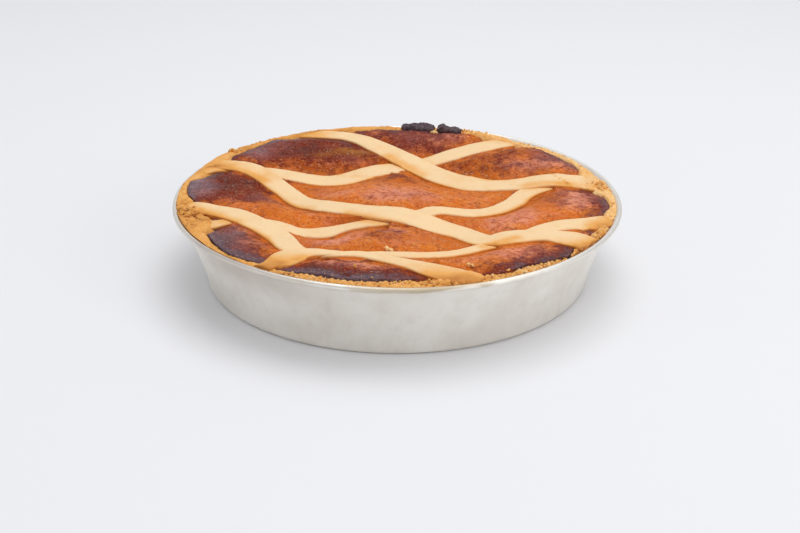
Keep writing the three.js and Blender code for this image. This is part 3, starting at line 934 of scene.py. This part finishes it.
def fillingRadius(angle):
    radius = roundTable(angle, filling["outline"])
    for strip in strips:
        for x, y, width in (strip["route"][0], strip["route"][-1]):
            arc = np.abs((angle - math.atan2(y, x) + math.pi) % (2 * math.pi) - math.pi) * radius
            beside = np.maximum(arc - width / 2, 0)
            radius = radius - filling["webDepth"] * fade(beside, filling["webReach"])
    return radius + uneven(flat(110 * np.cos(angle), 110 * np.sin(angle)), filling["outlineStray"])


def fillingHeight(x, y, toEdge):   # also gives the distance to the strips and the puff between them
    toStrip, stripTop = toStrips(x, y)
    puff = 1 - fade(toStrip, filling["bulgeReach"])
    beside = stripTop - filling["stripStep"]
    between = levelAt(x, y) - filling["valleyDepth"] + filling["bulgeHeight"]
    z = beside + (between - beside) * puff - filling["edgeDrop"] * fade(toEdge, filling["edgeRoll"])
    return z, toStrip, puff


def makeFillingSkin():
    material, shader = newMaterial("bakedFilling")
    zone, broad, mottle = grain(19, 3, 0.55), grain(8, 4, 0.55), grain(3.0, 5, 0.62)
    curds, pits = grain(1.15, 3, 0.55), grain(0.8, 3, 0.6)
    tone = {name: rgb(*parts) for name, parts in filling["tones"].items()}
    stray = plus(mapped(mottle, 0.35, 0.65, -0.17, 0.19), mapped(broad, 0.3, 0.7, -0.15, 0.18))
    softer = plus(mapped(mottle, 0.35, 0.65, -0.09, 0.10), mapped(broad, 0.3, 0.7, -0.17, 0.20))
    # burnt places, with two thin painted shadow lines among them
    burnAndShadow = plus(layerOf("burnt"), softer)
    black = plus(layerOf("blackened"), stray)
    pink = plus(layerOf("pinkish"), mapped(zone, 0.35, 0.65, -0.25, 0.2))
    pink = times(mapped(pink, 0.08, 0.72), mapped(mottle, 0.64, 0.40, 0.4, 1))
    warm = addNode("ShaderNodeMix", {0: 0.5, 2: zone, 3: broad}).outputs[0]
    light = painted(
        # the pink and rose coats are a painted sheen on the puffed crowns
        tone["amber"], (mapped(broad, 0.36, 0.64), tone["gold"]), (pink, tone["pink"]),
        (times(pink, mapped(broad, 0.46, 0.60, 0, 0.8)), tone["rose"]),
        (mapped(warm, 0.48, 0.60, 0, 0.55), tone["rust"]),
        # paler on the curds: a painted highlight
        (mapped(curds, 0.48, 0.64, 0, 0.55), tone["curd"]),
        (mapped(mottle, 0.50, 0.66, 0, 0.55), tone["umber"]),
        (times(layerOf("caramel"), mapped(mottle, 0.3, 0.6, 1, 0.88)), tone["caramel"]))
    # painted reflection: a pale lilac sheen on the burnt skin, most where it is blackened
    lilacSheenShare = plus(layerOf("sheen"), mapped(black, 0.3, 0.9, 0, 0.2))
    lilacSheenShare = times(lilacSheenShare, mapped(grain(1.9, 3), 0.40, 0.66, 0.25, 0.9))
    # painted glints
    glints = times(mapped(grain(0.9, 2, 0.5), 0.58, 0.66), mapped(grain(4.2, 2, 0.5), 0.50, 0.60))
    glints = times(layerOf("flecked"), glints)
    colour = painted(
        # burnt colours, pinker under the painted sheen
        light, (mapped(burnAndShadow, 0.05, 0.50), mixed(pink, tone["brown"], tone["brownPink"])),
        (mapped(burnAndShadow, 0.60, 1.0), mixed(pink, tone["dark"], tone["darkPink"])),
        (layerOf("golden"), tone["golden"]), (mapped(black, 0.15, 0.90, 0, 0.92), tone["black"]),
        # a painted highlight on the curds, then the painted lilac sheen
        (mapped(curds, 0.54, 0.68, 0, 0.30), tone["burntCurd"]), (lilacSheenShare, tone["sheen"]),
        # painted shade in the pits, then painted glints
        (mapped(pits, 0.32, 0.46, 0.2, 0), tone["pit"]), (glints, tone["fleck"]))
    setInputs(shader, {
        "Base Color": colour, "Roughness": mapped(mottle, 0.35, 0.65, 0.28, 0.48),
        "Specular IOR Level": 0.04, "Coat Weight": 0.02, "Coat Roughness": 0.2,
        "Normal": bumps((broad, 0.6), (mottle, 0.9), (curds, 0.45), (pits, 0.25), (glints, 0.5))})
    return material


def discSheet(n):   # a square sheet of points stretched to a disc of radius 1
    grid = np.linspace(-1, 1, n + 1)
    a, b = (v.ravel() for v in np.meshgrid(grid, grid, indexing="ij"))
    wide = np.abs(a) >= np.abs(b)
    long = np.where(wide, a, b)
    short = np.where(wide, b, a)
    turn = (math.pi / 4) * short / np.where(long == 0, 1, long)
    x, y = long * np.cos(turn), long * np.sin(turn)
    return np.where(wide, x, y), np.where(wide, y, x)


def discFaces(n):   # the sheet's faces, and the points of its edge in order
    across = n + 1
    corners = [i * across + j for i in range(n) for j in range(n)]
    faces = [(k, k + across, k + across + 1, k + 1) for k in corners]
    edge = ([i * across for i in range(n)] + [n * across + j for j in range(n)]
            + [i * across + n for i in range(n, 0, -1)] + list(range(n, 0, -1)))
    return faces, edge


def makeFilling():
    x, y = discSheet(filling["cells"])
    faces, edge = discFaces(filling["cells"])
    angle = np.arctan2(y, x)
    outline = fillingRadius(angle) + 0.5
    x, y = x * outline, y * outline
    toEdge = np.maximum(outline - np.hypot(x, y), 0)
    z, toStrip, puff = fillingHeight(x, y, toEdge)
    rough = flat(x, y)
    layers = {name: patches(x, y, filling[name], seed) for name, seed in filling["layerSeeds"].items()}
    scorched = roundTable(angle, filling["scorchedEdge"])
    nearEdge = fade(toEdge / filling["edgeReach"], 1 + uneven(rough, filling["edgeStray"]))
    black = layers["blackened"] = np.maximum(layers["blackened"], scorched * nearEdge)
    beside, besideReach = filling["besideStrip"]
    crustward, crustReaches = filling["besideCrust"]
    layers["burnt"] = layers["burnt"] + crustward * scorched * fade(toEdge, crustReaches)
    layers["caramel"] = np.maximum(layers["caramel"], beside * fade(toStrip, besideReach))
    # the painted pink sheen lies only on the puffed crowns
    layers["pinkish"] = layers["pinkish"] * puff
    swell = np.clip(toStrip / filling["swellReach"], 0.15, 1)
    curds = pebbles(rough, *filling["curds"]) * (0.5 + uneven(rough, filling["curdPatches"]))
    z = z + swell * (uneven(rough, filling["uneven"]) + filling["curdHeight"] * curds - filling["settle"])
    strayX, strayY = (lumps(rough, *wave) for wave in filling["creaseStray"])
    for path, width, depth in filling["creases"]:
        z = z - depth * fade(toPath(x + strayX, y + strayY, path), width)
    wrinkles = (1 - np.abs(uneven(rough, filling["wrinkles"]))) ** 2 * np.clip(black - 0.2, 0, 0.8)
    z = z + filling["wrinkleHeight"] * swell * wrinkles
    points = flat(x, y, z)
    lower = points[edge]
    lower[:, :2] *= (pastryRadius(4) - filling["skirtFoot"]) / polar(lower)[1][:, None]
    lower[:, 2] = filling["floor"]
    top, spare = len(points), len(edge) + 1
    points = np.vstack([points, lower, [[0, 0, filling["floor"]]]])
    for i in range(len(edge)):
        k = (i + 1) % len(edge)
        faces.append((edge[k], edge[i], top + i, top + k))
        faces.append((top + k, top + i, top + len(edge)))
    mesh = plainMesh("baked_filling", points, faces)
    for name, values in layers.items():
        paint(mesh, name, np.append(values, np.zeros(spare)))
    newPiece("baked_filling", mesh, makeFillingSkin(), "filling", "filling")


# The pastry case, of which only the crust at the rim shows.

crust = {
    "tones": [(246, 203, 142), (230, 164, 83), (170, 101, 36)],
    "steps": 1440,
    "across": 22,
    "clearance": 0.15,
    "lean": 1.8,
    "leanTurn": 150,
    "proud": 0.3,
    "reach": 117.9,      # its outer edge leans against the tin's bead
    # where it shrank back from the bead: degrees from +X, how far
    "shrunk": {
        -60: 0, -20: 0.3, 0: 0.5, 8: 0.8, 15: 1.4, 20: 1.6, 25: 1.0, 30: 0.3, 42: 0.2, 47: 1.2, 54: 1.6,
        60: 1.0, 70: 0.8, 80: 0, 105: 0, 115: 0.5, 125: 0.4, 135: 0, 180: 0,
    },
    "arch": 1.5,
    "innerDrop": 2.2,
    "wander": (0.6, 0.6),
    "innerGap": 0.6,     # how far the crust runs in over the filling's edge
    # the hidden wall and floor: levels up the outside, then sizes inside
    "levels": [(4, 4.5), (20, 20), (32, 32), (38, 38), (41, 41)],
    "footIn": 5,
    "lipWidth": 0.8,
    "lipLevel": 39,
    "wallWidth": 4.2,
    "footWidth": 5.2,
    "floorWidth": 4,
    # unevenness, each: height, size, seed, layers; then the grains, coarse and fine
    "uneven": [(0.5, 7, 221, 1), (0.18, 1.6, 231, 2)],
    "grains": (2.5, 201),
    "fineGrains": (1.5, 211),
    "fineShare": 0.8,
    "grainLevel": 0.55,
    "bakeStray": [(0.12, 8, 241, 1)],
    # how crumbly the edge is: degrees from +X, height of the grains
    "crumbly": {
        -172: 1.0, -166: 1.6, -160: 1.2, -154: 0.4, -140: 0.4, -128: 0.6, -115: 1.1, -100: 1.5, -85: 1.5,
        -70: 1.4, -62: 1.7, -50: 1.6, -42: 1.0, -30: 1.2, -20: 0.9, -5: 0.8, 8: 0.9, 25: 0.9, 40: 0.6,
        52: 0.6, 65: 1.0, 75: 0.9, 90: 0.4, 110: 0.4, 125: 0.5, 138: 0.6, 148: 0.4, 158: 0.2, 170: 0.3,
        178: 0.8,
    },
    # height of the edge against the even slope of the rest
    "level": {
        -168: -0.9, -163: -0.6, -155: 0, -140: -0.6, -125: -0.8, -112: 0.2, -90: 0.6, -62: 0.8, -42: 0.6,
        -36: -0.3, -30: 0.3, -24: 0.8, -17: -0.2, -10: 0.6, 10: 0.7, 30: 0.5, 50: -0.3, 68: -0.4, 74: -1.0,
        86: -1.0, 92: -0.2, 110: -0.1, 130: 0, 150: 0.3, 157: 0, 162: -0.8, 168: -0.5, 175: 0.2,
    },
    "browned": {
        -176: 0.45, -166: 0.70, -158: 0.62, -150: 0.52, -130: 0.48, -110: 0.50, -80: 0.55, -55: 0.50,
        -42: 0.40, -30: 0.30, -10: 0.18, 15: 0.22, 35: 0.20, 60: 0.30, 90: 0.52, 108: 0.55, 116: 0.72,
        126: 0.55, 140: 0.6, 155: 0.45, 165: 0.55, 172: 0.5, 178: 0.42,
    },
}


def crustTop(angle):
    lean = crust["lean"] * np.cos(angle - math.radians(crust["leanTurn"]))
    level = roundTable(angle, crust["level"]) - roundTable(angle, tart["bentRim"])
    amount, seed = crust["wander"]
    return tinHeight + crust["proud"] + lean + amount * wander(angle, seed) + level


def crustReach(angle):
    return crust["reach"] - roundTable(angle, crust["shrunk"])


def crustSpot(angle, share):   # share 0 is against the tin, 1 at the filling
    outer = crustReach(angle)
    radius = outer + (fillingRadius(angle) - crust["innerGap"] - outer) * share
    arch = np.sin(np.pi * np.clip(share * 0.9 + 0.06, 0, 1)) ** 0.5
    z = crustTop(angle) - crust["arch"] + crust["arch"] * arch - crust["innerDrop"] * ease(share, 0.65, 1)
    return radius * np.cos(angle), radius * np.sin(angle), z


def keepInside(points):   # in the tin's wall; only what stands clear of its bead leans over it
    bead = tart["beadRadius"]
    z = points[:, 2] + roundTable(polar(points)[0], tart["bentRim"])
    height = np.clip(z / tinHeight, 0, 1) ** tart["wallCurve"]
    limit = tinInnerRadius(0) + (tinInnerRadius(tinHeight) - tinInnerRadius(0)) * height - tart["fit"]
    above = z - (tinHeight - bead)
    shoulder = rimRadius - bead - np.sqrt(np.clip((bead + crust["clearance"]) ** 2 - above ** 2, 0, None))
    limit = np.where(above > 0, np.maximum(limit, shoulder), limit)
    pullIn(points, limit)


def makeCrust(material):
    count, across = crust["steps"], crust["across"]
    angle = np.linspace(0, 2 * math.pi, count, endpoint=False)
    floor = tart["wall"] + tart["fit"]
    floorTop = floor + crust["floorWidth"]

    def ring(radius, z):
        return flat(radius * np.cos(angle), radius * np.sin(angle), z)

    rings = [ring(tart["baseRadius"] - crust["footIn"], floor)]
    rings += [ring(pastryRadius(level), z) for level, z in crust["levels"]]
    first = len(rings)
    rings += [flat(*crustSpot(angle, share)) for share in np.linspace(0, 1, across + 1)]
    rings += [ring(fillingRadius(angle) - crust["lipWidth"], crust["lipLevel"]),
              ring(pastryRadius(30) - crust["wallWidth"], 30),
              ring(pastryRadius(4) - crust["footWidth"], floorTop)]
    points = np.concatenate(rings)
    hub = len(points)
    points = np.vstack([points, [[0, 0, floor], [0, 0, floorTop]]])
    shown = np.zeros(len(points))
    shown[first * count:(first + across + 1) * count] = 1
    x, y, z = points.T
    turn = polar(points)[0]
    crumbly = roundTable(turn, crust["crumbly"])
    fine = crust["fineShare"] * pebbles(points, *crust["fineGrains"])
    grains = np.maximum(pebbles(points, *crust["grains"]), fine)
    depth, dark = crevicesAt(x, y)
    z += shown * (crumbly * (grains - crust["grainLevel"]) + uneven(points, crust["uneven"]) - depth)
    z -= (1 - shown) * roundTable(turn, tart["bentRim"]) * ease(z, 15, 39)
    keepInside(points)
    mesh = plainMesh("shortcrust_case", points, loftFaces(len(rings), count, hub, hub + 1))
    # browner in the hollows between the grains, and the crack colour in the cracks and those hollows: painted
    # shade
    paint(mesh, "baked", roundTable(turn, crust["browned"]) + uneven(points, crust["bakeStray"])
          + 0.45 * (0.6 - grains) * np.clip(crumbly, 0, 1))
    gaps = 0.4 * ease(0.12 - grains, 0, 0.12) * ease(crumbly, 0.8, 1.5)
    paint(mesh, "crackShade", np.maximum(ease(dark, 0.3, 0.9), gaps))
    newPiece("shortcrust_case", mesh, material, "pastry_case", "pastry_case")


# Loose crumbs, all from one tree.

crumbs = {
    "onCrust": 420,
    "seed": 17,
    "shape": (0.32, 0.26, 0.21),
    "roughness": 1.7,
    "roughnessSize": 1.5,
    "tintStray": 0.12,
    # heaps of crumbs, laid along a path: the path, how many, how far they stray, size, browning
    "heaps": [
        ([(43, -107), (55, -103), (64, -97), (73, -92), (84, -84)], 230, 1.4, 2.0, 0.34),
        ([(56, -99), (61, -94), (67, -91)], 40, 1.0, 2.1, 0.3),
        ([(35, 109), (46, 106), (56, 102)], 22, 0.9, 2.0, 0.35),
        ([(-112, -24), (-108, -31)], 40, 2.6, 2.4, 0.6),
        ([(-46, -108), (-20, -113), (4, -112)], 80, 1.1, 1.4, 0.25),
        ([(112, 24), (114, 8)], 30, 1.8, 2.4, 0.3), ([(105, -48), (100, -56)], 16, 1.2, 2.4, 0.35),
        ([(-98, 61), (-92, 69)], 16, 1.2, 2.4, 0.4), ([(22, 106), (24, 104)], 5, 0.8, 2.6, 0.1),
    ],
    # loose crumbs on the filling: x, y, size, browning
    "loose": [
        (-5, -75, 3.2, 0.05), (-3.1, -75.6, 2.7, 0.05), (8, -70, 1.6, 0.5), (34, -93.5, 2.6, 0.2),
        (35.7, -94, 2, 0.2), (-20, -100, 1.8, 0.6),
    ],
}


def makeCrumbTree(values):
    given = startTree("crumbs", values)
    block = addNode("GeometryNodeMeshCube", {
        "Size": (1, 1, 1), "Vertices X": 4, "Vertices Y": 4, "Vertices Z": 4}).outputs["Mesh"]
    place = placeOf()
    softened = vectors("ADD", vectors("NORMALIZE", place), place)
    rounded = shifted(block, "Position", vectors("MULTIPLY", softened, crumbs["shape"]))
    spin = addNode("FunctionNodeRandomValue", {
        "Min": (-3.1, -3.1, -3.1), "Max": (3.1, 3.1, 3.1), "Seed": given["Seed"]},
        data_type="FLOAT_VECTOR").outputs[0]
    size = addNode("GeometryNodeInputNamedAttribute", {"Name": "size"}, data_type="FLOAT").outputs[0]
    copies = addNode("GeometryNodeInstanceOnPoints", {
        "Points": given["Geometry"], "Instance": rounded, "Rotation": spin, "Scale": size}).outputs[0]
    solid = addNode("GeometryNodeRealizeInstances", {"Geometry": copies}).outputs[0]
    noise = addNode("ShaderNodeTexNoise", {
        "Vector": place, "Scale": sums("DIVIDE", 1.0, given["Roughness Size"]), "Detail": 2.0}).outputs[1]
    push = scaled(vectors("SUBTRACT", noise, (0.5, 0.5, 0.5)), given["Roughness"])
    return endTree(shifted(solid, "Offset", push), given["Material"])


def scatter(name, tree, values, spots, sizes, baked):
    points = bpy.data.meshes.new(name + "_spots")
    points.from_pydata([tuple(p) for p in spots * mm], [], [])
    paint(points, "size", sizes * mm)
    paint(points, "baked", baked)
    mesh = runTree(tree, addObject(name + "_spots", points), values)
    newPiece(name, mesh, values["Material"], "pastry_case")


def groundAt(x, y):   # the height of the crust or the filling, whichever shows there
    angle, far = np.arctan2(y, x), np.hypot(x, y)
    inner, outer = fillingRadius(angle), crustReach(angle)
    onCrust = crustSpot(angle, np.clip((outer - far) / (outer - inner), 0, 1))[2]
    return np.where(far > inner, onCrust, fillingHeight(x, y, np.maximum(inner - far, 0))[0])


def makeCrumbs(material):
    values = {"Roughness": crumbs["roughness"] * mm, "Roughness Size": crumbs["roughnessSize"] * mm,
              "Seed": crumbs["seed"], "Material": material}
    tree = makeCrumbTree(values)
    rng = np.random.default_rng(crumbs["seed"])
    angle = rng.uniform(-math.pi, math.pi, crumbs["onCrust"] * 5)
    # more of them stay where the crust is crumbly
    kept = rng.uniform(0, 1.6, len(angle)) ** 1.6 < roundTable(angle, crust["crumbly"]) ** 2 * 0.6
    angle = angle[kept][:crumbs["onCrust"]]
    x, y, z = crustSpot(angle, rng.uniform(0.12, 1.15, len(angle)))
    size = rng.uniform(0.7, 1.9, len(angle)) * (0.6 + 0.4 * rng.uniform(0, 1, len(angle)))
    size *= 0.3 + 0.7 * np.clip(roundTable(angle, crust["crumbly"]), 0, 1)
    tints = [roundTable(angle, crust["browned"]) + rng.normal(0, crumbs["tintStray"], len(angle))]
    spots, sizes = [flat(x, y, z + 0.25 * size - 0.1)], [size]
    for path, count, spread, usual, browning in crumbs["heaps"]:
        at = rng.uniform(0, len(path) - 1, count)
        x, y = (np.interp(at, np.arange(len(path)), part) + rng.normal(0, spread, count)
                for part in zip(*path))
        size = usual * rng.uniform(0.5, 1.2, count)
        spots.append(flat(x, y, groundAt(x, y) + size * rng.uniform(-0.1, 0.35, count)))
        sizes.append(size)
        tints.append(browning + rng.normal(0, crumbs["tintStray"], count))
    spots, sizes, tints = (np.concatenate(parts) for parts in (spots, sizes, tints))
    angle, far = polar(spots)
    inside = far < crustReach(angle) - 0.5 * sizes
    scatter("crust_crumbs", tree, values, spots[inside], sizes[inside], tints[inside])
    x, y, size, baked = np.array(crumbs["loose"]).T
    z = fillingHeight(x, y, np.full(len(x), 9.0))[0] + 0.3 * size
    scatter("loose_crumbs", tree, values, flat(x, y, z), size, baked)


# Two lumps of filling that ran over the back and charred.

drips = {
    "radius": 112.4,
    "sizes": [(12.3, 19.5, 9, 2.3), (31.4, 16.5, 8, 1.6)],   # x, length, depth, height
    "squareness": 4,
    "peak": (-0.45, 0.3, 0.45),   # on the second lump: where along it, how wide, how much taller
    "seat": 1.1,
    "thickness": 1.6,
    "cells": 40,
    "domePower": 7,
    "baseHeight": 0.80,
    # unevenness of the outline and of the height, each: height, size, seed, layers
    "outlineStray": [(0.20, 5, 301, 1), (0.10, 1.8, 331, 2)],
    "heightStray": [(0.34, 4.5, 311, 1), (0.40, 1.9, 321, 2)],
}


def makeChar():
    material, shader = newMaterial("charredFilling")
    lump = grain(2.0, 5)
    # the palest brown, on the high points of the lumps, is a painted highlight
    setInputs(shader, {
        "Base Color": painted(rgb(48, 32, 40), (mapped(lump, 0.35, 0.6), rgb(86, 62, 68)),
                              (mapped(lump, 0.60, 0.75), rgb(150, 96, 70))),
        "Roughness": mapped(lump, 0.3, 0.7, 0.35, 0.65), "Normal": bumps((lump, 0.7))})
    return material


def makeDrips():
    material = makeChar()
    for i, (middle, length, depth, height) in enumerate(drips["sizes"]):
        x, y = discSheet(drips["cells"])
        faces, rim = discFaces(drips["cells"])
        edge = np.clip(1 - np.hypot(x, y), 0, 1)
        power = drips["squareness"]
        squarer = np.hypot(x, y) / np.maximum((np.abs(x) ** power + np.abs(y) ** power) ** (1 / power), 0.001)
        x, y = x * squarer, y * squarer
        place = flat(x * length / 2, y * depth / 2)
        wide = 1 + uneven(place, drips["outlineStray"], i)
        turn = math.acos(middle / drips["radius"]) - x * wide * length / 2 / drips["radius"]
        out = drips["radius"] + y * wide * depth / 2
        dome = (1 - (1 - edge) ** drips["domePower"]) ** 0.5
        tall = height * (drips["baseHeight"] + uneven(place, drips["heightStray"], i))
        peakAt, peakWide, peakTall = drips["peak"]
        tall = tall * (1 + i * (peakTall * fade(x - peakAt, peakWide) - 0.4 * ease(x, -0.2, 0.9)))
        base = tinHeight + drips["seat"]
        points = flat(out * np.cos(turn), out * np.sin(turn), base + dome * tall)
        low = points.copy()
        low[:, 2] = base - drips["thickness"]
        top = len(points)
        faces += [tuple(top + a for a in reversed(face)) for face in faces]
        for j in range(len(rim)):
            k = (j + 1) % len(rim)
            faces.append((rim[k], rim[j], top + rim[j], top + rim[k]))
        name = f"charred_drip_{i + 1}"
        mesh = plainMesh(name, np.vstack([points, low]), faces)
        newPiece(f"charred_lump_{i + 1}", mesh, material, name, name)


# Floor, light and camera.

studio = {
    "floorSize": 8,
    "worldColour": (0.95, 0.965, 1.0, 1),
    "worldStrength": 0.62,
    "cameraPlace": (0, -0.6728, 0.3006),
    "cameraTilt": 24.03,
    "cameraPan": -0.12,
    "lens": 60,
    # each light: name, place, size, power
    "softboxes": [
        ("topSoftbox", (0.2, 0.15, 1.6), (1.6, 1.2), 14), ("frontSoftbox", (1.3, -1.2, 0.8), (1.2, 0.8), 6),
        ("sideSoftbox", (-1.5, -0.5, 0.35), (0.5, 0.6), 1.2),
    ],
    "floorDrop": -0.2,
}


def makeFloor():
    material, shader = newMaterial("paleFloor")
    setInputs(shader, {"Base Color": rgb(232, 232, 234), "Roughness": 0.8})
    half = studio["floorSize"] / 2 / mm
    corners = [(-half, -half), (half, -half), (half, half), (-half, half)]
    mesh = plainMesh("floor", [(x, y, studio["floorDrop"]) for x, y in corners], [(0, 1, 2, 3)])
    mesh.materials.append(material)
    addObject("floor", mesh)


def addSoftbox(name, place, size, power):
    light = bpy.data.lights.new(name, "AREA")
    light.shape = "RECTANGLE"
    light.size, light.size_y = size
    light.energy = power
    holder = addObject(name, light)
    holder.location = place
    holder.rotation_euler = (-Vector(place)).to_track_quat("-Z", "Y").to_euler()


def makeStudio():
    world = bpy.data.worlds.new("studio")
    bpy.context.scene.world = world
    world.use_nodes = True
    background = world.node_tree.nodes["Background"]
    background.inputs[0].default_value = studio["worldColour"]
    background.inputs[1].default_value = studio["worldStrength"]
    for softbox in studio["softboxes"]:
        addSoftbox(*softbox)
    view = bpy.context.scene.view_settings
    view.view_transform = "Standard"
    view.look = "None"


def makeCamera():
    camera = bpy.data.cameras.new("camera")
    camera.lens = studio["lens"]
    camera.sensor_width = 36
    holder = addObject("camera", camera)
    holder.location = studio["cameraPlace"]
    holder.rotation_euler = (math.radians(90 - studio["cameraTilt"]), 0, math.radians(studio["cameraPan"]))
    bpy.context.scene.camera = holder


makeCamera()
makeStudio()
makeFloor()
print("stage is set")
makeTin()
print("tin made")
strips = layStrips()
makeStrips()
print("strips made")
makeFilling()
print("filling made")
crustPastry = makePastry("goldenCrust", crust["tones"], 1.0)
makeCrust(crustPastry)
makeCrumbs(crustPastry)
print("crust made")
makeDrips()
print("drips made")
